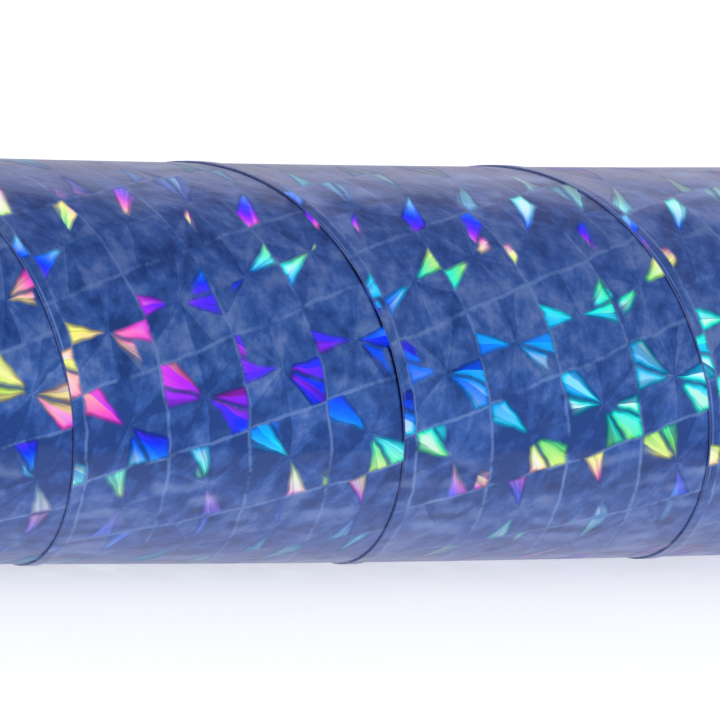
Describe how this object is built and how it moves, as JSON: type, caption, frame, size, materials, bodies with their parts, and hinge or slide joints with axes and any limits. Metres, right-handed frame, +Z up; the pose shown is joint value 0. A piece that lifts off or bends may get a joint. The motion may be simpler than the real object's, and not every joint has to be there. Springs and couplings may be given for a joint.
{
  "type": "rhythmic hoop",
  "caption": "Rhythmic gymnastics hoop: a round plastic tube bent into a ring, joined by a pinned inner plug and wound all over with blue holographic film tape.",
  "frame": {"origin": "on the floor at the centre of the ring, as the hoop lies flat", "axes": "+Z up, along the axis of the ring; the seam of the tube lies towards +Y"},
  "size_m": [0.888, 0.8879, 0.019],
  "materials": {
    "tube_plastic": "smooth extruded plastic",
    "plug_plastic": "moulded plastic",
    "pin_steel": "bright zinc plate",
    "holographic_film": "blue holographic film with a faceted pattern"
  },
  "bodies": {
    "root": {"hoop_tube": "tube_plastic", "joint_plug": "plug_plastic", "joint_pin_1": "pin_steel", "joint_pin_2": "pin_steel", "joint_pin_3": "pin_steel", "joint_pin_4": "pin_steel", "film_tape": "holographic_film"}
  },
  "joints": []
}
